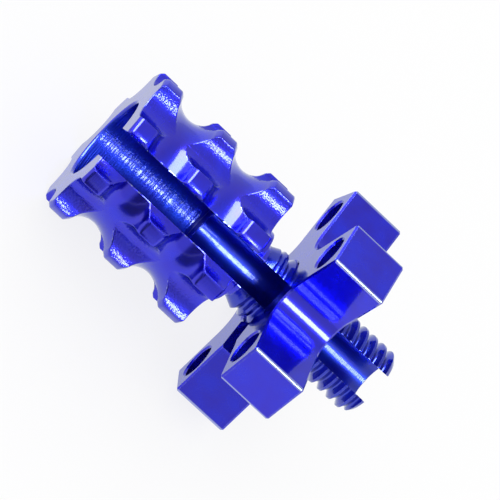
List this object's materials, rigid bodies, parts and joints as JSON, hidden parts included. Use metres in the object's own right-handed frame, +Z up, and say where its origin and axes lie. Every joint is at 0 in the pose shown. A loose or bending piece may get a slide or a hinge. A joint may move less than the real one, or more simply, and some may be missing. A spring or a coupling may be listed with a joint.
{
  "type": "cable adjuster",
  "caption": "Slotted barrel adjuster for a motorbike control cable: lobed grip head, stepped cable bore and threaded shank with a star-shaped lock nut, in blue anodised aluminium.",
  "frame": {"origin": "on the floor under the middle of the part, which lies at rest on two arms of the lock nut and one lobe of the head", "axes": "+Z up, +X along the floor from the head to the thread end, which is raised by about 9 degrees"},
  "size_m": [0.0382, 0.027, 0.0263],
  "materials": {
    "blue_screw": "bright blue anodised, turned and milled",
    "blue_nut": "bright blue anodised, milled"
  },
  "bodies": {
    "adjuster_screw": {"adjuster_screw": "blue_screw"},
    "lock_nut": {"lock_nut": "blue_nut"}
  },
  "joints": [
    {"name": "lock_nut_turn", "type": "hinge", "parent": "adjuster_screw", "child": "lock_nut", "pos_m": [0.00775, 0, 0.01264], "axis": [0.9875, 0, 0.1575], "continuous": true}
  ]
}
